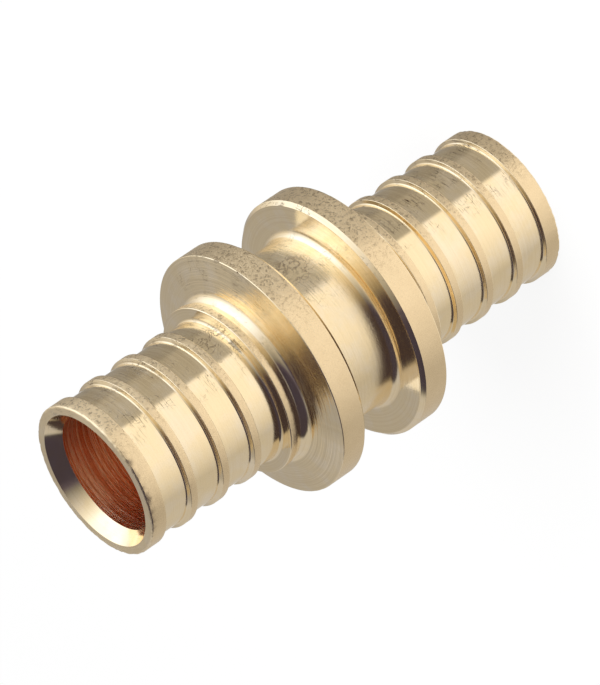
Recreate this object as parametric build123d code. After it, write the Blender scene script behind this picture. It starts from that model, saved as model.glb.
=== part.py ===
from build123d import *
import os

# Pipe coupling turned from one brass bar: a ribbed spigot at each end, a collar behind the
# ribs and two flanges with a waist between them. It stands on its lower end on Z = 0, its
# bore runs up +Z and its upper half mirrors its lower half. All sizes are in millimetres.

os.makedirs("parts", exist_ok=True)

# Bore, and the countersink that opens each mouth
bore_diameter = 15.9
mouth_diameter = 18.2
mouth_depth = 1.95

# Spigot: a nose rib at the end face, then three narrow ribs that grip the pipe
rib_diameter = 20.6
valley_diameter = 19.5
nose_width = 2.3
nose_rounding = 0.25
first_rib_front = 6.27
rib_pitch = 5.09
rib_count = 3
rib_land = 1.08
rib_slope_front = 0.22
rib_slope_back = 0.14
rib_foot_fillet = 0.18

# Collar that the pipe end stops against
collar_face = 21.25
collar_back = 22.4
collar_diameter = 23.0
collar_foot_fillet = 0.4
collar_edge = 0.1

# Neck behind the collar and the flange that the pressing tool holds. The flange's outer face
# leans towards the rim, and its back, towards the waist, is flat.
neck_diameter = 22.0
neck_fillet = 1.2
flange_face_root = 24.1
flange_face = 25.2
flange_back = 29.1
flange_diameter = 33.0
face_edge_break = 0.12
back_edge_chamfer = 0.5

# Waist between the flanges
waist_diameter = 23.7
waist_fillet = 0.95

total_length = 67.4

bore_radius = bore_diameter / 2
mouth_radius = mouth_diameter / 2
rib_radius = rib_diameter / 2
valley_radius = valley_diameter / 2
collar_radius = collar_diameter / 2
neck_radius = neck_diameter / 2
flange_radius = flange_diameter / 2
waist_radius = waist_diameter / 2
middle = total_length / 2
rib_fronts = [first_rib_front + rib_pitch * number for number in range(rib_count)]


def spigot_outline():
    """Radius and height of each corner from the end face up to the last rib."""
    corners = [
        (rib_radius, 0),
        (rib_radius, nose_width),
        (valley_radius, nose_width + rib_slope_back),
    ]
    for front in rib_fronts:
        back = front + rib_land
        corners += [
            (valley_radius, front - rib_slope_front),
            (rib_radius, front),
            (rib_radius, back),
            (valley_radius, back + rib_slope_back),
        ]
    return corners


def collar_outline():
    """Corners of the collar and of the neck behind it."""
    return [
        (valley_radius, collar_face),
        (collar_radius, collar_face),
        (collar_radius, collar_back),
        (neck_radius, collar_back),
    ]


def flange_outline():
    """Corners of the flange and of its half of the waist."""
    return [
        (neck_radius, flange_face_root),
        (flange_radius, flange_face),
        (flange_radius, flange_back),
        (waist_radius, flange_back),
        (waist_radius, middle),
    ]


def bore_outline():
    """Corners of the bore, down from mid-length to the end face."""
    return [
        (bore_radius, middle),
        (bore_radius, mouth_depth),
        (mouth_radius, 0),
    ]


def corner(sketch, radius, height):
    """The outline's corner at this radius and height."""
    return sketch.vertices().sort_by_distance((radius, 0, height))[0]


def half_section():
    """Cross-section of the wall from the end face to mid-length, edges and feet rounded."""
    with BuildSketch(Plane.XZ) as section:
        with BuildLine():
            outline = spigot_outline() + collar_outline() + flange_outline() + bore_outline()
            Polyline(*outline, close=True)
        make_face()
        feet = [(valley_radius, nose_width + rib_slope_back)]
        for front in rib_fronts:
            feet.append((valley_radius, front - rib_slope_front))
            feet.append((valley_radius, front + rib_land + rib_slope_back))
        for radius, height in feet:
            fillet(corner(section.sketch, radius, height), radius=rib_foot_fillet)
        fillet(corner(section.sketch, rib_radius, 0), radius=nose_rounding)
        fillet(corner(section.sketch, valley_radius, collar_face), radius=collar_foot_fillet)
        for height in (collar_face, collar_back):
            chamfer(corner(section.sketch, collar_radius, height), length=collar_edge)
        fillet(corner(section.sketch, neck_radius, flange_face_root), radius=neck_fillet)
        chamfer(corner(section.sketch, flange_radius, flange_face), length=face_edge_break)
        chamfer(corner(section.sketch, flange_radius, flange_back), length=back_edge_chamfer)
        fillet(corner(section.sketch, waist_radius, flange_back), radius=waist_fillet)
    return section.sketch


with BuildPart() as coupling:
    add(half_section())
    revolve(axis=Axis.Z)
    mirror(about=Plane.XY.offset(middle))

export_step(coupling.part, "parts/coupling_body.step")
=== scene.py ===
import math

import bmesh
import bpy
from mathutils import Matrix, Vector


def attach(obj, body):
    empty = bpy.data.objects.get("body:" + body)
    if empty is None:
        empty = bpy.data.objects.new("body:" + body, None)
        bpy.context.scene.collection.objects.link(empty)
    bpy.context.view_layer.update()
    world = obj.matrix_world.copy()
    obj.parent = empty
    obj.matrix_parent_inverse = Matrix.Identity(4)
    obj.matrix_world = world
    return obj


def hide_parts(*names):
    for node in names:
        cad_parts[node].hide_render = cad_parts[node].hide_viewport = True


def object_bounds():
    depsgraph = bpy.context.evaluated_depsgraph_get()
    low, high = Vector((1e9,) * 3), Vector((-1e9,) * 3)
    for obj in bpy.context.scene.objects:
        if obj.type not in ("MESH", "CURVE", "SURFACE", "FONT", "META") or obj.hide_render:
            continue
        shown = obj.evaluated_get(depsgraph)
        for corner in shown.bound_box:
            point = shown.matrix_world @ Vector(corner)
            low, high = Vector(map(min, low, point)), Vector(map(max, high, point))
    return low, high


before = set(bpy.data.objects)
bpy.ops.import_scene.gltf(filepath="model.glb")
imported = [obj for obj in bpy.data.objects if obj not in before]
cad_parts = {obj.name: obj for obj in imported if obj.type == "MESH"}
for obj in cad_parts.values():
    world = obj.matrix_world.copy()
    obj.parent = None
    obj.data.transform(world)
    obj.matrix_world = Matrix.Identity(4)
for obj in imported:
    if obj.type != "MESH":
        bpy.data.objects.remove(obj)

bl_info = {
    "name": "Turned Pipe Coupling",
    "version": (1, 0, 0),
    "blender": (4, 5, 0),
    "location": "View3D > Sidebar > Coupling",
    "description": "Turns a brass pipe coupling with ribbed spigots and sets it in a light tent",
    "category": "Object",
}

NODE = "coupling_body"
BODY = "root"
MM = 0.001

# Two places closer than this are one, in metres
TINY = 1e-6

CAD_LOW, CAD_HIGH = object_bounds()
LENGTH = CAD_HIGH.z - CAD_LOW.z
FLANGE_DIAMETER = CAD_HIGH.x - CAD_LOW.x
MIDDLE = LENGTH / 2

# How deep the turning lines and the pits look
FINE_RELIEF = 0.02 * MM
COARSE_RELIEF = 0.04 * MM

# A quarter turn, as the metal's grain counts its turns
ACROSS_THE_LINES = 0.25

# How each group of vertices wears: the size of its clouds, their contrast and brightness, and how
# far the darkest of them sinks the metal
WEAR = {
    "skin": (0.9 * MM, 1.2, 1.1, 0.014 * MM),
    "edges": (0.8 * MM, 2.6, 1.9, 0.055 * MM),
    "noses": (0.6 * MM, 2.2, 1.3, 0.085 * MM),
}

# The smoothing tool takes faces this small for nothing, so the body is enlarged for it by a power of
# two, which brings every vertex back to its place
ENLARGED = 1024

# The camera's sensor in millimetres, and the lamp's metres from the coupling's middle
SENSOR_WIDTH = 36.0
LAMP_DISTANCE = 0.9

WHITE = (1.0, 1.0, 1.0, 1.0)


# Sizes, colours and lights that a user would change

def length(name, description, default):
    """A length in metres for a property group."""
    return bpy.props.FloatProperty(
        name=name, description=description, default=default, min=0.0, precision=5, unit="LENGTH"
    )


def number(name, description, default, top=1.0):
    """A plain number from nought to top for a property group."""
    return bpy.props.FloatProperty(
        name=name, description=description, default=default, min=0.0, max=top
    )


def count(name, description, default, least):
    """A whole number for a property group."""
    return bpy.props.IntProperty(name=name, description=description, default=default, min=least)


def colour(name, description, default):
    """A linear colour for a property group."""
    return bpy.props.FloatVectorProperty(
        name=name, description=description, default=default, size=3, min=0.0, max=2.0, subtype="COLOR"
    )


def angle(name, description, degrees):
    """An angle for a property group, given in degrees."""
    return bpy.props.FloatProperty(
        name=name, description=description, default=math.radians(degrees), subtype="ANGLE"
    )


class CouplingSizes(bpy.types.PropertyGroup):
    """Diameters of the turned body, and distances along it from the nearer end face"""

    bore: length("Bore diameter", "The hole right through", 15.9 * MM)
    mouth: length("Mouth diameter", "Countersink at the end face", 18.2 * MM)
    mouth_depth: length("Mouth depth", "How deep the countersink goes", 1.95 * MM)
    rib: length("Rib diameter", "Crest of the ribs that grip the pipe", 20.6 * MM)
    valley: length("Valley diameter", "Spigot between the ribs", 19.5 * MM)
    nose: length("Nose width", "Rib at the end face", 2.3 * MM)
    nose_rounding: length("Nose rounding", "Outer edge of the end face", 0.25 * MM)
    first_rib: length("First rib", "Front of the first rib from the end face", 6.27 * MM)
    rib_pitch: length("Rib pitch", "From one rib to the next", 5.09 * MM)
    rib_land: length("Rib land", "Width of a rib's crest", 1.08 * MM)
    rib_slope_front: length("Rib front slope", "Run of the face towards the pipe", 0.22 * MM)
    rib_slope_back: length("Rib back slope", "Run of the face away from it", 0.14 * MM)
    rib_foot: length("Rib foot fillet", "Round where a rib meets the valley", 0.18 * MM)
    collar_face: length("Collar face", "Where the pipe end stops", 21.25 * MM)
    collar_back: length("Collar back", "Back of the collar", 22.4 * MM)
    collar: length("Collar diameter", "Outer diameter of the collar", 23.0 * MM)
    collar_foot: length("Collar foot fillet", "Round in front of the collar", 0.4 * MM)
    neck: length("Neck diameter", "Short neck behind the collar", 22.0 * MM)
    neck_fillet: length("Neck fillet", "Round up to the flange", 1.2 * MM)
    flange_root: length("Flange face root", "Outer face of the flange at the neck", 24.1 * MM)
    flange_face: length("Flange face", "Outer face of the flange at its rim", 25.2 * MM)
    flange_back: length("Flange back", "Face on the waist's side", 29.1 * MM)
    flange: length("Flange diameter", "Outer diameter of the flanges", FLANGE_DIAMETER)
    back_chamfer: length("Back chamfer", "Chamfer on the flange's back edge", 0.5 * MM)
    edge_break: length("Edge break", "Broken sharpness of turned edges", 0.12 * MM)
    waist: length("Waist diameter", "Between the flanges", 23.7 * MM)
    waist_fillet: length("Waist fillet", "Round at the foot of the flanges", 0.95 * MM)
    rib_count: count("Ribs", "Narrow ribs on each spigot", 3, least=1)
    steps: count("Steps", "Steps of the spin", 320, least=24)


class BrassFinish(bpy.types.PropertyGroup):
    """Colours and gloss of the brass, cut by cut"""

    metal: colour("Brass", "Colour of clean turned brass", (0.955, 0.81, 0.55))
    skin: colour("Bar skin", "Colour of the drawn bar's own skin", (0.88, 0.72, 0.48))
    pale: colour("Pale brass", "Colour of its paler clouds", (0.965, 0.85, 0.65))
    shade: colour("Shaded grain", "Colour in the deeper turning lines", (0.80, 0.64, 0.41))
    copper: colour("Bore", "Warmer colour of the drilled bore", (0.955, 0.745, 0.57))
    copper_shade: colour("Bore shade", "Red-brown of the bore's duller streaks", (0.86, 0.52, 0.36))
    stain: colour("Stain", "Dark brown of coolant and handling stains", (0.10, 0.06, 0.03))
    turned_roughness: number("Turned roughness", "Gloss of the valleys, rib sides and chamfers", 0.125)
    faced_roughness: number("Faced roughness", "Gloss of the collars' and flanges' plain faces", 0.085)
    waist_roughness: number("Waist roughness", "Gloss of the brushed waist", 0.20)
    neck_roughness: number("Neck roughness", "Gloss of the neck and the flange face behind it", 0.12)
    end_roughness: number("End roughness", "Gloss of the end faces, worn by handling", 0.36)
    skin_roughness: number("Skin roughness", "Gloss of the bar's own skin", 0.24)
    bore_roughness: number("Bore roughness", "Gloss of the drilled bore", 0.24)
    bore_pitch: length("Bore pitch", "One turn of the tool mark in the bore", 0.42 * MM)


class StudioSettings(bpy.types.PropertyGroup):
    """The camera, the floor, the lamp and the light tent"""

    lens: number("Lens", "Focal length in millimetres", 326.1, top=2000.0)
    distance: length("Distance", "From the coupling's middle to the camera", 0.7538)
    elevation: angle("Elevation", "How far the camera looks down", 27.2)
    roll: angle("Roll", "Turn of the camera about its own axis", -124.36)
    aside: length("Aside", "How far the middle sits right of the frame's centre", 0.000287)
    above: length("Above", "How far the middle sits above the frame's centre", 0.000416)
    floor: colour("Floor", "Pale floor", (0.85, 0.85, 0.85))
    shadow: number("Shadow", "Share of the floor that takes the coupling's shadow", 0.12)
    floor_size: length("Floor size", "Width of the floor", 6.0)
    fill: number("Fill", "Strength of the plain light from all round", 0.6)
    lamp_power: number("Lamp power", "Overhead lamp in watts", 8.0, top=100.0)
    lamp_size: length("Lamp size", "Width of the overhead lamp", 0.5)
    tent_radius: length("Tent radius", "Light tent around the coupling", 0.6)
    dark_tint: colour("Dark tint", "Tint of the tent's darkest cloth", (1.0, 0.80, 1.12))
    plain_tint: colour("Plain tint", "Tint of its plain cloth", (1.0, 0.93, 0.83))
    back_tint: colour("Back tint", "Tint of the cloth behind the coupling", (1.0, 0.96, 0.94))
    box_tint: colour("Box tint", "Tint of the bright soft boxes", (1.0, 1.04, 1.10))
    gap_tint: colour("Gap tint", "Tint of the bright gap behind the table", (1.0, 1.06, 1.20))


# Shader maths

class Value:
    """A socket that carries a number; an expression on it adds the Math nodes that work it out."""

    def __init__(self, shader, socket):
        self.shader = shader
        self.socket = socket

    def maths(self, operation, *values):
        """What a Math node makes of the values in their order."""
        node = self.shader.node("ShaderNodeMath", {"operation": operation}, dict(enumerate(values)))
        return Value(self.shader, node.outputs[0])

    def __add__(self, other):
        return self.maths("ADD", self, other)

    def __radd__(self, other):
        return self.maths("ADD", other, self)

    def __sub__(self, other):
        return self.maths("SUBTRACT", self, other)

    def __rsub__(self, other):
        return self.maths("SUBTRACT", other, self)

    def __mul__(self, other):
        return self.maths("MULTIPLY", self, other)

    def __rmul__(self, other):
        return self.maths("MULTIPLY", other, self)

    def __truediv__(self, other):
        return self.maths("DIVIDE", self, other)

    def __rtruediv__(self, other):
        return self.maths("DIVIDE", other, self)

    def __pow__(self, other):
        return self.maths("POWER", self, other)

    def __rpow__(self, other):
        return self.maths("POWER", other, self)

    def __abs__(self):
        return self.maths("ABSOLUTE", self)

    def fraction(self):
        """What is left of it over the whole number below."""
        return self.maths("FRACT", self)

    def most(self, other):
        """The greater of the two."""
        return self.maths("MAXIMUM", self, other)

    def least(self, other):
        """The lesser of the two."""
        return self.maths("MINIMUM", self, other)

    def clamp(self, low, high):
        """No less than low and no more than high."""
        return self.most(low).least(high)

    def blend(self, other, factor):
        """This where factor is nought, the other where it is one."""
        return self + (other - self) * factor

    def rise(self, low, high):
        """Nought below low, one above high, smooth between; low above high falls instead."""
        node = self.shader.node(
            "ShaderNodeMapRange",
            {"interpolation_type": "SMOOTHSTEP"},
            {"Value": self, "From Min": low, "From Max": high},
        )
        return Value(self.shader, node.outputs[0])


class Shader:
    """The node tree of one material or world, with the few calls that build it."""

    def __init__(self, name, shelf="materials"):
        self.owner = getattr(bpy.data, shelf).new(name)
        self.owner.use_nodes = True
        self.tree = self.owner.node_tree
        self.tree.nodes.clear()

    def node(self, kind, settings=None, inputs=None):
        """Adds a node, sets it up, then fills its sockets with numbers, colours or links."""
        node = self.tree.nodes.new(kind)
        for key, value in (settings or {}).items():
            setattr(node, key, value)
        for key, value in (inputs or {}).items():
            socket = node.inputs[key]
            source = value.socket if isinstance(value, Value) else value
            if isinstance(source, bpy.types.NodeSocket):
                self.tree.links.new(source, socket)
            else:
                socket.default_value = source
        return node

    def point(self):
        """The point on the surface in the piece's own axes."""
        return self.node("ShaderNodeTexCoord").outputs["Object"]

    def axes(self):
        """The same point's x, y and z."""
        split = self.node("ShaderNodeSeparateXYZ", None, {0: self.point()})
        return [Value(self, socket) for socket in split.outputs]

    def vector(self, x, y, z):
        """A vector from its three parts."""
        return self.node("ShaderNodeCombineXYZ", None, {0: x, 1: y, 2: z}).outputs[0]

    def unit(self, vector):
        """A vector's direction alone."""
        return self.node("ShaderNodeVectorMath", {"operation": "NORMALIZE"}, {0: vector}).outputs[0]

    def along(self, vector, direction):
        """How far a vector goes in a direction."""
        node = self.node(
            "ShaderNodeVectorMath", {"operation": "DOT_PRODUCT"}, {0: vector, 1: direction}
        )
        return Value(self, node.outputs["Value"])

    def noise(self, vector, scale, detail=2.0, roughness=0.5, distortion=0.0):
        """Clouds between nought and one, finer where scale is larger."""
        node = self.node(
            "ShaderNodeTexNoise",
            None,
            {"Vector": vector, "Scale": scale, "Detail": detail, "Roughness": roughness,
             "Distortion": distortion},
        )
        return Value(self, node.outputs[0])

    def mix(self, factor, first, second):
        """A colour between two others."""
        node = self.node("ShaderNodeMix", {"data_type": "RGBA"}, {0: factor, 6: first, 7: second})
        return node.outputs[2]

    def finish(self, surface, kind="ShaderNodeOutputMaterial"):
        """Ends the tree in its output and hands over the material or world."""
        self.node(kind, None, {"Surface": surface})
        return self.owner


def toward(azimuth, pitch):
    """A direction from the coupling: degrees round Z from +X, and degrees above level."""
    a, p = math.radians(azimuth), math.radians(pitch)
    return Vector((math.cos(a) * math.cos(p), math.sin(a) * math.cos(p), math.sin(p)))


def rgba(colour_value):
    """A property's colour with full alpha."""
    return (*colour_value, 1.0)


def turning_lines(shader, run=9000.0, drift=55.0, detail=3.0):
    """Streaks that run round the axis: fine across the cut, long along it, on any slope."""
    x, y, z = shader.axes()
    from_axis = (x * x + y * y) ** 0.5
    across = (z + from_axis * 1.7) * run
    streaked = shader.vector(x * drift, y * drift, across)
    return shader.noise(streaked, scale=1.0, detail=detail, roughness=0.6)


def contour(shader, vector, scale, width, detail=2.0):
    """Thin wandering lines where a noise passes through its middle."""
    cloud = shader.noise(vector, scale, detail=detail, distortion=0.6)
    return abs(cloud - 0.5).rise(width, width * 0.3)


def spot(shader, azimuth, height, radius, size):
    """One at a place on the surface, falling to nought at size from it."""
    a = math.radians(azimuth)
    centre = Vector((math.cos(a) * radius, math.sin(a) * radius, height))
    away = shader.node(
        "ShaderNodeVectorMath", {"operation": "DISTANCE"}, {0: shader.point(), 1: centre}
    )
    return Value(shader, away.outputs["Value"]).rise(size, size * 0.45)


def darker_side(shader, azimuth=-38.0):
    """One on the side that faces the azimuth, darker and more scuffed, nought opposite."""
    x, y, z = shader.axes()
    outwards = shader.unit(shader.vector(x, y, 0.0))
    return shader.along(outwards, toward(azimuth, 0)).rise(0.55, 0.95)


def metal_surface(shader, base, rough, height, strength, depth, grain=0.0):
    """Bare metal with a relief; grain stretches its gloss across the turning lines."""
    relief = shader.node(
        "ShaderNodeBump", None, {"Strength": strength, "Distance": depth, "Height": height}
    )
    surface = shader.node(
        "ShaderNodeBsdfPrincipled", None,
        {"Base Color": base, "Metallic": 1.0, "Roughness": rough, "Normal": relief.outputs[0],
         "Anisotropic": grain, "Anisotropic Rotation": ACROSS_THE_LINES},
    )
    return shader.finish(surface.outputs[0])


def clouded_metal(shader, finish, lines):
    """Clean brass that pales in slow clouds and darkens a little in its lines, and those clouds."""
    cloud = shader.noise(shader.point(), scale=260.0, detail=4.0, roughness=0.6)
    clean = shader.mix(cloud.rise(0.40, 0.68), rgba(finish.metal), rgba(finish.pale))
    return shader.mix(lines.rise(0.60, 0.32) * 0.22, clean, rgba(finish.shade)), cloud


def scuffs(shader):
    """Short dark scratches, dashes along the cut and specks, mostly on the darker side."""
    point = shader.point()
    darker = darker_side(shader)
    patches = shader.noise(point, scale=330.0).rise(0.46, 0.60)
    scratch = contour(shader, point, scale=900.0, width=0.016) * patches
    dashes = turning_lines(shader, run=5200.0, drift=420.0).rise(0.52, 0.64) * patches * darker
    specks = shader.noise(point, scale=3100.0, detail=1.0).rise(0.72, 0.78)
    marks = scratch * 0.8 + specks * (0.06 + darker * 0.16)
    return marks * (0.05 + darker) + dashes * 0.85


def turned_brass(finish):
    """Valleys, rib sides, fillets and chamfers: bright, crisp round the axis and a little scuffed."""
    shader = Shader("turned_brass")
    lines = turning_lines(shader)
    broad = turning_lines(shader, run=1300.0, drift=25.0)
    deep = turning_lines(shader, run=5200.0, drift=90.0).rise(0.62, 0.38)
    darker = darker_side(shader, azimuth=-20)
    smudge = spot(shader, azimuth=-50, height=48.4 * MM, radius=9.8 * MM, size=3.0 * MM)
    dirt = scuffs(shader).most(contour(shader, shader.point(), scale=1100.0, width=0.06) * smudge)
    base, cloud = clouded_metal(shader, finish, lines)
    # The valleys are tinted darker towards the side facing azimuth -20, most in the deeper lines
    base = shader.mix(darker * (0.10 + deep * 0.30), base, rgba(finish.shade))
    base = shader.mix(darker * deep * 0.10, base, rgba(finish.stain))
    base = shader.mix(dirt * 0.75, base, rgba(finish.stain))
    rough = finish.turned_roughness + (lines - 0.5) * 0.08 + (cloud - 0.5) * 0.10 + dirt * 0.2
    height = lines * 0.45 + broad * 0.35 + cloud * 0.5 - dirt * 0.4
    return metal_surface(shader, base, rough, height, strength=0.30, depth=FINE_RELIEF, grain=0.65)


def brushed_brass(finish, name, roughness, run, waves):
    """A fine brushed grain round the axis over slow waves, with one dull stained patch."""
    shader = Shader(name)
    lines = turning_lines(shader, run=run, drift=run * 0.012)
    broad = turning_lines(shader, run=1500.0, drift=30.0)
    base, cloud = clouded_metal(shader, finish, lines)
    patch = spot(shader, azimuth=-50, height=34.2 * MM, radius=11.85 * MM, size=3.4 * MM)
    patch = patch * cloud.rise(0.32, 0.55)
    marks = contour(shader, shader.point(), scale=1300.0, width=0.075, detail=4.0) * patch
    base = shader.mix(patch * 0.40, base, rgba(finish.shade))
    base = shader.mix((marks * 0.6).most(scuffs(shader) * 0.4), base, rgba(finish.stain))
    base = shader.mix(lines.rise(0.56, 0.40) * 0.20, base, rgba(finish.shade))
    rough = roughness + (lines - 0.5) * 0.14 + (cloud - 0.5) * 0.10
    height = lines + broad * waves - marks * 0.8
    return metal_surface(shader, base, rough, height, strength=0.35, depth=FINE_RELIEF, grain=0.6)


def faced_brass(finish):
    """Plain faces of collars and flanges: concentric facing lines, some of them cut deeper."""
    shader = Shader("faced_brass")
    lines = turning_lines(shader, run=7000.0, drift=40.0)
    deep = turning_lines(shader, run=2600.0, drift=18.0, detail=1.0).rise(0.60, 0.72)
    base, cloud = clouded_metal(shader, finish, lines)
    base = shader.mix(lines.rise(0.56, 0.42) * 0.22, base, rgba(finish.shade))
    rough = finish.faced_roughness + (lines - 0.5) * 0.06 + deep * 0.12
    height = lines * 0.6 + deep * 0.9 + cloud * 0.3
    return metal_surface(shader, base, rough, height, strength=0.25, depth=FINE_RELIEF, grain=0.6)


def bar_skin(finish):
    """The drawn bar's own skin on rib crests, collars and rims: duller, pitted, with dark specks."""
    shader = Shader("bar_skin")
    point = shader.point()
    darker = darker_side(shader)
    pits = shader.noise(point, scale=4200.0, detail=3.0, roughness=0.65)
    wrinkles = shader.noise(point, scale=2300.0, detail=4.0, roughness=0.7, distortion=0.8)
    waves = shader.noise(point, scale=420.0)
    specks = shader.noise(point, scale=3000.0, roughness=0.7)
    # Towards the darker side the skin gets more specks, more wrinkled grime and more roughness
    specks = specks.rise(0.79 - darker * 0.10, 0.83 - darker * 0.09)
    shaded = shader.mix(waves.rise(0.62, 0.38) * 0.25, rgba(finish.skin), rgba(finish.shade))
    grime = wrinkles.rise(0.52, 0.34) * darker * 0.6
    base = shader.mix((specks * 0.36).most(grime), shaded, rgba(finish.stain))
    rough = finish.skin_roughness + (pits - 0.5) * 0.22 + specks * 0.3 + darker * 0.08
    height = pits * (0.30 + darker * 0.6) + wrinkles * (0.25 + darker * 1.9)
    height = height + waves * 0.8 - specks
    return metal_surface(shader, base, rough, height, strength=0.42, depth=COARSE_RELIEF)


def bored_brass(finish):
    """The bore: a helical tool mark, red-brown streaks and many fine bright scratches."""
    shader = Shader("bored_brass")
    x, y, z = shader.axes()
    turn = y.maths("ARCTAN2", y, x) / math.tau
    helix = z / finish.bore_pitch + turn
    groove = abs(helix.fraction() - 0.5) * 2.0
    streaked = shader.vector(x * 90.0, y * 90.0, z * 2400.0)
    streaks = shader.noise(streaked, scale=1.0, detail=4.0, roughness=0.65)
    scratched = shader.vector(x * 35.0, y * 35.0, z * 2600.0)
    scratch = contour(shader, scratched, scale=1.0, width=0.035, detail=3.0)
    base = shader.mix(streaks.rise(0.62, 0.36), rgba(finish.copper), rgba(finish.copper_shade))
    base = shader.mix(scratch * 0.30, base, rgba(finish.pale))
    rough = finish.bore_roughness + (streaks - 0.5) * 0.15 + scratch * 0.1
    height = groove * 0.25 + streaks * 0.4 + scratch * 0.4
    return metal_surface(shader, base, rough, height, strength=0.5, depth=COARSE_RELIEF)


# The turned body

def deselect_all():
    """Nothing selected and object mode, so the next operator acts on its own piece alone."""
    if bpy.context.object and bpy.context.object.mode != "OBJECT":
        bpy.ops.object.mode_set(mode="OBJECT")
    bpy.ops.object.select_all(action="DESELECT")


def edit_mesh():
    """The mesh that is open in edit mode."""
    return bmesh.from_edit_mesh(bpy.context.edit_object.data)


def select(kind, wanted):
    """In edit mode, selects only the vertices, edges or faces that wanted() accepts, and says how
    many they are."""
    bpy.ops.mesh.select_mode(type=kind)
    bpy.ops.mesh.select_all(action="DESELECT")
    mesh = edit_mesh()
    parts = {"VERT": mesh.verts, "EDGE": mesh.edges, "FACE": mesh.faces}[kind]
    chosen = [part for part in parts if wanted(part)]
    for part in chosen:
        part.select = True
    mesh.select_flush_mode()
    bmesh.update_edit_mesh(bpy.context.edit_object.data)
    return len(chosen)


def reach(place):
    """Distance of a place from the axis."""
    return math.hypot(place.x, place.y)


def from_end(place):
    """Distance of a place from the nearer end, along the axis."""
    return min(place.z, LENGTH - place.z)


def off_skin(place, sizes):
    """How far a place lies from the nearest rib crest, collar or flange rim."""
    return min(abs(reach(place) - across / 2) for across in (sizes.rib, sizes.collar, sizes.flange))


def half_outline(sizes):
    """Corners of the lower half's section from the middle of the bore, round the end face, to the
    middle of the waist: (radius, height, rounding, rounding steps)."""
    crest = sizes.edge_break * 0.6
    rib, valley = sizes.rib / 2, sizes.valley / 2
    face_end = rib - sizes.nose_rounding * 1.3
    corners = [
        (sizes.bore / 2, MIDDLE, 0.0, 0),
        (sizes.bore / 2, sizes.mouth_depth, crest, 2),
        (sizes.mouth / 2, 0.0, crest, 2),
        (face_end, 0.0, 0.0, 0),
        (rib, 0.0, sizes.nose_rounding, 4),
        (rib, sizes.nose, crest, 2),
        (valley, sizes.nose + sizes.rib_slope_back, sizes.rib_foot, 4),
    ]
    for i in range(sizes.rib_count):
        front = sizes.first_rib + i * sizes.rib_pitch
        back = front + sizes.rib_land
        corners += [
            (valley, front - sizes.rib_slope_front, sizes.rib_foot, 4),
            (rib, front, crest, 2),
            (rib, back, crest, 2),
            (valley, back + sizes.rib_slope_back, sizes.rib_foot, 4),
        ]
    flange, neck, waist = sizes.flange / 2, sizes.neck / 2, sizes.waist / 2
    corners += [
        (valley, sizes.collar_face, sizes.collar_foot, 5),
        (sizes.collar / 2, sizes.collar_face, sizes.edge_break, 2),
        (sizes.collar / 2, sizes.collar_back, sizes.edge_break, 2),
        (neck, sizes.collar_back, 0.0, 0),
        (neck, sizes.flange_root, sizes.neck_fillet, 8),
        (flange, sizes.flange_face, sizes.edge_break, 2),
        (flange, sizes.flange_back - sizes.back_chamfer, crest, 2),
        (flange - sizes.back_chamfer, sizes.flange_back, crest, 2),
        (waist, sizes.flange_back, sizes.waist_fillet, 6),
        (waist, MIDDLE, 0.0, 0),
    ]
    return corners


def draw_outline(corners):
    """Draws the outline as a wire by extruding one vertex, then rounds its corners."""
    places = [Vector((radius, 0.0, height)) for radius, height, rounding, steps in corners]
    bpy.ops.mesh.primitive_plane_add(size=MM, location=(0, 0, 0))
    bpy.ops.object.mode_set(mode="EDIT")
    bpy.ops.mesh.merge(type="CENTER")
    bpy.ops.transform.translate(value=places[0])
    for here, there in zip(places, places[1:]):
        bpy.ops.mesh.extrude_vertices_move(TRANSFORM_OT_translate={"value": there - here})
    for before, here, after, corner in zip(places, places[1:], places[2:], corners[1:]):
        rounding, steps = corner[2:]
        if steps:
            turn = (here - before).angle(after - here)
            select("VERT", lambda v: (v.co - here).length < TINY)
            setback = rounding * math.tan(turn / 2)
            bpy.ops.mesh.bevel(
                affect="VERTICES", offset_type="OFFSET", offset=setback, segments=steps
            )


def divide_crests(sizes):
    """Divides the long runs of the crests and rims, so that wear can sink them in places."""
    spacing = 0.42 * MM
    most_cuts = 9

    def on_crest(edge):
        return all(off_skin(v.co, sizes) < TINY for v in edge.verts)

    for cuts in range(most_cuts, 0, -1):
        low, high = cuts * spacing, (cuts + 1) * spacing
        if select("EDGE", lambda e: on_crest(e) and low < e.calc_length() <= high):
            bpy.ops.mesh.subdivide(number_cuts=cuts)


def spin_outline(sizes):
    """Mirrors the half outline about the middle, spins it round Z and closes the seam."""
    bpy.ops.mesh.select_mode(type="VERT")
    bpy.ops.mesh.select_all(action="SELECT")
    bpy.ops.mesh.duplicate()
    bpy.ops.transform.resize(value=(1, 1, -1), center_override=(0, 0, MIDDLE))
    bpy.ops.mesh.select_all(action="SELECT")
    bpy.ops.mesh.remove_doubles(threshold=TINY)
    bpy.ops.mesh.spin(
        steps=sizes.steps, angle=math.tau, center=(0, 0, 0), axis=(0, 0, 1), use_auto_merge=True
    )
    bpy.ops.mesh.select_all(action="SELECT")
    bpy.ops.mesh.remove_doubles(threshold=TINY)
    bpy.ops.mesh.normals_make_consistent(inside=False)


def mark_wear(sizes):
    """Groups the vertices of the bar skin, of its sharp edges and of the end faces' rims."""
    near = 0.10 * MM
    tilted = 0.25
    rounding = sizes.nose_rounding * 1.01

    def on_skin(v):
        return off_skin(v.co, sizes) < TINY

    def on_edge(v):
        return off_skin(v.co, sizes) < near and any(abs(f.normal.z) > tilted for f in v.link_faces)

    def on_nose(v):
        return from_end(v.co) < rounding and reach(v.co) > sizes.rib / 2 - rounding

    for name, wanted in (("skin", on_skin), ("edges", on_edge), ("noses", on_nose)):
        if not select("VERT", wanted):
            raise RuntimeError("no vertices found for " + name)
        bpy.ops.object.vertex_group_assign_new()
        bpy.context.edit_object.vertex_groups[-1].name = name


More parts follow.
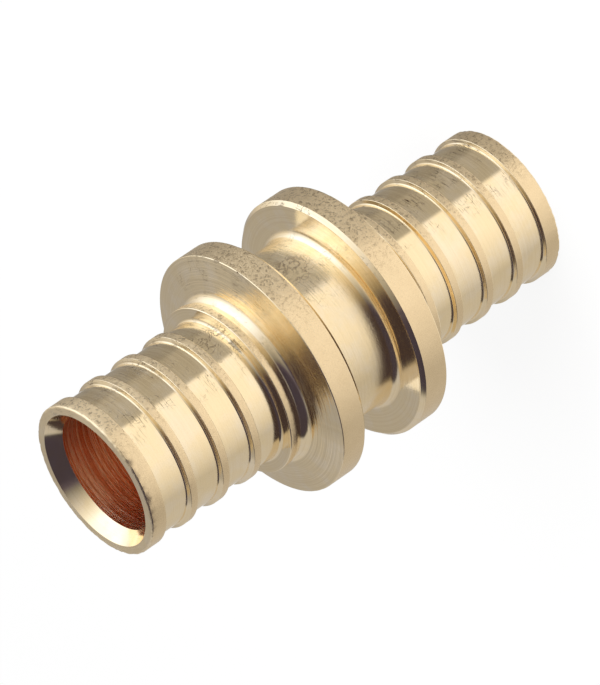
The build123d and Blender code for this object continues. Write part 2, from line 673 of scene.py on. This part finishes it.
def wear_down(body):
    """Sinks the bar skin into shallow waves and its edges into small nicks, never outwards."""
    for name, (grain, contrast, intensity, depth) in WEAR.items():
        texture = bpy.data.textures.new(name + "_wear", "CLOUDS")
        texture.noise_scale = grain
        texture.noise_depth = 2
        texture.use_clamp = True
        texture.contrast = contrast
        texture.intensity = intensity
        bpy.ops.object.modifier_add(type="DISPLACE")
        wear = body.modifiers[-1]
        wear.texture = texture
        wear.texture_coords = "LOCAL"
        wear.vertex_group = name
        wear.mid_level = 1.0
        wear.strength = depth
        bpy.ops.object.modifier_apply(modifier=wear.name)


def enlarge(factor):
    """Scales the selected body about the frame's origin, in its mesh."""
    bpy.ops.transform.resize(value=(factor, factor, factor), center_override=(0, 0, 0))
    bpy.ops.object.transform_apply(location=True, rotation=False, scale=True)


def smooth_flats(body):
    """Smooth shading that keeps the flats flat, worked out on the enlarged body."""
    bpy.ops.object.shade_smooth()
    enlarge(ENLARGED)
    bpy.ops.object.modifier_add(type="WEIGHTED_NORMAL")
    flats = body.modifiers[-1]
    flats.keep_sharp = False
    flats.thresh = 0.0
    bpy.ops.object.modifier_apply(modifier=flats.name)
    enlarge(1 / ENLARGED)


def lay_finishes(body, sizes, finish):
    """Gives each run of faces the finish that its own cut or the bar's skin left on it."""
    mouth, flange = sizes.mouth / 2, sizes.flange / 2
    bore, waist = sizes.bore / 2, sizes.waist / 2 + sizes.waist_fillet
    flat, upright = 0.97, 0.2
    near_skin, near_bore = 0.04 * MM, 0.02 * MM

    def reach_of(face):
        return reach(face.calc_center_median())

    def end_of(face):
        return from_end(face.calc_center_median())

    def is_faced(face):
        return abs(face.normal.z) > flat and reach_of(face) > mouth

    def is_end(face):
        return end_of(face) < sizes.nose_rounding and reach_of(face) > mouth

    def is_neck(face):
        behind = sizes.collar_back - TINY < end_of(face) < sizes.flange_face + TINY
        return behind and reach_of(face) < flange - sizes.edge_break

    def is_waist(face):
        return end_of(face) > sizes.flange_back and reach_of(face) < waist

    def is_skin(face):
        crest = off_skin(face.calc_center_median(), sizes) < near_skin
        return crest and abs(face.normal.z) < upright

    def is_bore(face):
        return reach_of(face) < bore + near_bore

    ends = brushed_brass(finish, "worn_end", finish.end_roughness, run=7000.0, waves=0.5)
    necks = brushed_brass(finish, "brushed_neck", finish.neck_roughness, run=7000.0, waves=7.0)
    middle = brushed_brass(finish, "brushed_waist", finish.waist_roughness, run=14000.0, waves=0.5)
    body.data.materials.append(turned_brass(finish))
    for material, wanted in (
        (faced_brass(finish), is_faced),
        (ends, is_end),
        (necks, is_neck),
        (middle, is_waist),
        (bar_skin(finish), is_skin),
        (bored_brass(finish), is_bore),
    ):
        body.data.materials.append(material)
        if not select("FACE", wanted):
            raise RuntimeError("no faces found for " + material.name)
        body.active_material_index = len(body.data.materials) - 1
        bpy.ops.object.material_slot_assign()


class COUPLING_OT_turn_body(bpy.types.Operator):
    """Turn the coupling's body: outline, spin, edges and finish"""

    bl_idname = "coupling.turn_body"
    bl_label = "Turn body"

    def execute(self, context):
        sizes, finish = context.scene.coupling_sizes, context.scene.coupling_finish
        deselect_all()
        draw_outline(half_outline(sizes))
        divide_crests(sizes)
        spin_outline(sizes)
        body = context.edit_object
        body.name = "coupling_turned"
        lay_finishes(body, sizes, finish)
        mark_wear(sizes)
        deselect_all()
        body.select_set(True)
        context.view_layer.objects.active = body
        wear_down(body)
        smooth_flats(body)
        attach(body, BODY)
        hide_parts(NODE)
        return {"FINISHED"}


# The stage

class TentShader(Shader):
    """A shader for the tent's inside, with masks that are one over a part of it."""

    def __init__(self, name):
        super().__init__(name)
        self.heading = self.unit(self.point())
        self.height = self.along(self.heading, Vector((0, 0, 1)))

    def facing(self, azimuth):
        """One at an azimuth on the level, nought a quarter turn away, minus one opposite."""
        return self.along(self.heading, toward(azimuth, 0))

    def above(self, pitch, soft):
        """One above a pitch, with a soft edge."""
        low, high = math.radians(pitch - soft), math.radians(pitch + soft)
        return self.height.rise(math.sin(low), math.sin(high))

    def past(self, azimuth, soft):
        """One on the half of the tent that begins at an azimuth, with a soft edge."""
        blur = math.radians(soft)
        return self.facing(azimuth + 90).rise(-blur, blur)

    def within(self, first, last, soft):
        """One between two azimuths less than half a turn apart."""
        return self.past(first, soft) * (1 - self.past(last, soft))


def upper_cloth(tent):
    """Strength over the table: a soft box round azimuth 0, dark cloth opposite, a duller back and
    a roof of its own."""
    side = tent.facing(20)
    box = (side * 1.2 + 0.68).most(side * 0.35 + 0.27).most(0.06)
    cap = 1.42 + (1 - tent.above(20, soft=8.0)) * 0.35
    box = box.least((tent.facing(-25) * 1.25 + 0.61).clamp(0.40, cap))
    back = 0.43 + tent.within(108, 170, soft=5.0) * 0.14
    back = tent.within(64, 156, soft=4.0) * (1 - tent.above(46, soft=7.0)) * back
    roof = (side * 2.8 + 0.42).clamp(0.08, 0.85)
    return box.most(back).blend(roof, tent.above(66, soft=5.0))


def table_cloth(tent, gap):
    """Strength below the table's edge: dull cloth behind with a bright gap in it, and a key box in
    front."""
    duller = tent.within(8, 78, soft=6.0) * 0.12
    brighter = tent.within(102, 200, soft=6.0) * 0.11
    table = 0.46 - duller + gap * 0.60 + brighter
    key = (tent.facing(-80) * 0.62 + 0.66).clamp(0.58, 1.14)
    return table.blend(key, tent.past(-230, soft=3.0))


def tent_cloth(studio):
    """The tent's inside: soft boxes, dark gaps and plain cloth between them, each with its tint."""
    tent = TentShader("tent_cloth")
    over_table = tent.above(-16, soft=3.5)
    gap = tent.within(80, 100, soft=4.0)
    level = table_cloth(tent, gap).blend(upper_cloth(tent), over_table)
    level = level.blend(1.05, 1 - tent.above(-50, soft=5.0))
    back = tent.within(66, 160, soft=4.0) * over_table
    cloth = tent.mix(level.rise(0.06, 0.26), rgba(studio.dark_tint), rgba(studio.plain_tint))
    cloth = tent.mix(back * 0.7, cloth, rgba(studio.back_tint))
    cloth = tent.mix(level.rise(0.7, 1.3) * over_table, cloth, rgba(studio.box_tint))
    cloth = tent.mix(gap * (1 - over_table), cloth, rgba(studio.gap_tint))
    lit = tent.node("ShaderNodeVectorMath", {"operation": "SCALE"}, {0: cloth, "Scale": level})
    glow = tent.node("ShaderNodeEmission", None, {"Color": lit.outputs[0], "Strength": 1.0})
    material = tent.finish(glow.outputs[0])
    material.cycles.emission_sampling = "NONE"
    return material


def seen_directly(shader):
    """One for rays from the camera and for those that metal or glass sends on, nought for others."""
    rays = shader.node("ShaderNodeLightPath").outputs
    camera = Value(shader, rays["Is Camera Ray"])
    return camera.most(rays["Is Glossy Ray"]).most(rays["Is Transmission Ray"])


def floor_paint(studio):
    """Pale floor that reads white behind the coupling and keeps its shadow."""
    shader = Shader("floor_paint")
    paint = shader.node("ShaderNodeBsdfDiffuse", None, {"Color": rgba(studio.floor)})
    white = shader.node("ShaderNodeEmission", None, {"Color": WHITE, "Strength": 1.0})
    lit = seen_directly(shader) * (1 - studio.shadow)
    surface = shader.node(
        "ShaderNodeMixShader", None, {0: lit, 1: paint.outputs[0], 2: white.outputs[0]}
    )
    return shader.finish(surface.outputs[0])


def white_air(studio):
    """White to the camera and in reflections, and a plain soft fill elsewhere."""
    shader = Shader("studio_air", shelf="worlds")
    strength = studio.fill + seen_directly(shader) * (1 - studio.fill)
    glow = shader.node("ShaderNodeBackground", None, {"Color": WHITE, "Strength": strength})
    return shader.finish(glow.outputs[0], kind="ShaderNodeOutputWorld")


class COUPLING_OT_set_stage(bpy.types.Operator):
    """Set up the floor, the light tent, the lamp and the camera"""

    bl_idname = "coupling.set_stage"
    bl_label = "Set stage"

    def execute(self, context):
        scene, studio = context.scene, context.scene.coupling_studio
        middle = Vector((0, 0, MIDDLE))
        deselect_all()
        bpy.ops.mesh.primitive_plane_add(size=studio.floor_size, location=(0, 0, 0))
        floor = context.object
        floor.name = "floor"
        floor.data.materials.append(floor_paint(studio))
        floor.visible_glossy = False
        bpy.ops.mesh.primitive_uv_sphere_add(
            segments=64, ring_count=32, radius=studio.tent_radius, location=middle
        )
        tent = context.object
        tent.name = "light_tent"
        tent.data.materials.append(tent_cloth(studio))
        for ray in ("camera", "diffuse", "transmission", "volume_scatter", "shadow"):
            setattr(tent, "visible_" + ray, False)
        scene.world = white_air(studio)
        self.hang_lamp(context, middle)
        self.set_camera(context, middle)
        scene.view_settings.view_transform = "Standard"
        # Light is thrown back and forth in the bore and between the ribs
        scene.cycles.max_bounces = 20
        scene.cycles.glossy_bounces = 16
        return {"FINISHED"}

    def hang_lamp(self, context, middle):
        """One broad soft lamp overhead for the floor and for dull spots on the brass."""
        studio = context.scene.coupling_studio
        place = middle + toward(-60, 60) * LAMP_DISTANCE
        bpy.ops.object.light_add(type="AREA", radius=studio.lamp_size, location=place)
        lamp = context.object
        lamp.name = "overhead_lamp"
        lamp.data.energy = studio.lamp_power
        lamp.rotation_mode = "QUATERNION"
        lamp.rotation_quaternion = (place - middle).to_track_quat("Z", "Y")
        lamp.visible_glossy = False

    def set_camera(self, context, middle):
        """The camera looks along +Y and down, and is rolled about its own axis."""
        studio = context.scene.coupling_studio
        bpy.ops.object.camera_add(location=(0, 0, 0))
        camera = context.object
        camera.name = "camera"
        camera.rotation_mode = "ZYX"
        camera.rotation_euler = (math.pi / 2 - studio.elevation, 0.0, studio.roll)
        context.view_layer.update()
        across, up, back = camera.matrix_world.to_3x3().transposed()
        level = middle - across * studio.aside - up * studio.above
        camera.location = level + back * studio.distance
        camera.data.lens = studio.lens
        camera.data.sensor_width = SENSOR_WIDTH
        context.scene.camera = camera


class COUPLING_PT_panel(bpy.types.Panel):
    """Lists the steps that make the coupling"""

    bl_label = "Pipe coupling"
    bl_idname = "COUPLING_PT_panel"
    bl_space_type = "VIEW_3D"
    bl_region_type = "UI"
    bl_category = "Coupling"

    def draw(self, context):
        for operator in OPERATORS:
            self.layout.operator(operator.bl_idname)
        for group in GROUPS:
            settings = getattr(context.scene, group)
            for name in settings.__annotations__:
                self.layout.prop(settings, name)


OPERATORS = (COUPLING_OT_turn_body, COUPLING_OT_set_stage)
GROUPS = {
    "coupling_sizes": CouplingSizes,
    "coupling_finish": BrassFinish,
    "coupling_studio": StudioSettings,
}


def register():
    """Makes the settings, steps and panel known to Blender."""
    for group in GROUPS.values():
        bpy.utils.register_class(group)
    for name, group in GROUPS.items():
        setattr(bpy.types.Scene, name, bpy.props.PointerProperty(type=group))
    for operator in OPERATORS:
        bpy.utils.register_class(operator)
    bpy.utils.register_class(COUPLING_PT_panel)


def unregister():
    """Takes them out again."""
    bpy.utils.unregister_class(COUPLING_PT_panel)
    for operator in reversed(OPERATORS):
        bpy.utils.unregister_class(operator)
    for name, group in GROUPS.items():
        delattr(bpy.types.Scene, name)
        bpy.utils.unregister_class(group)


def main():
    """Makes the coupling and its stage."""
    register()
    bpy.ops.coupling.turn_body()
    bpy.ops.coupling.set_stage()


if __name__ == "__main__":
    main()
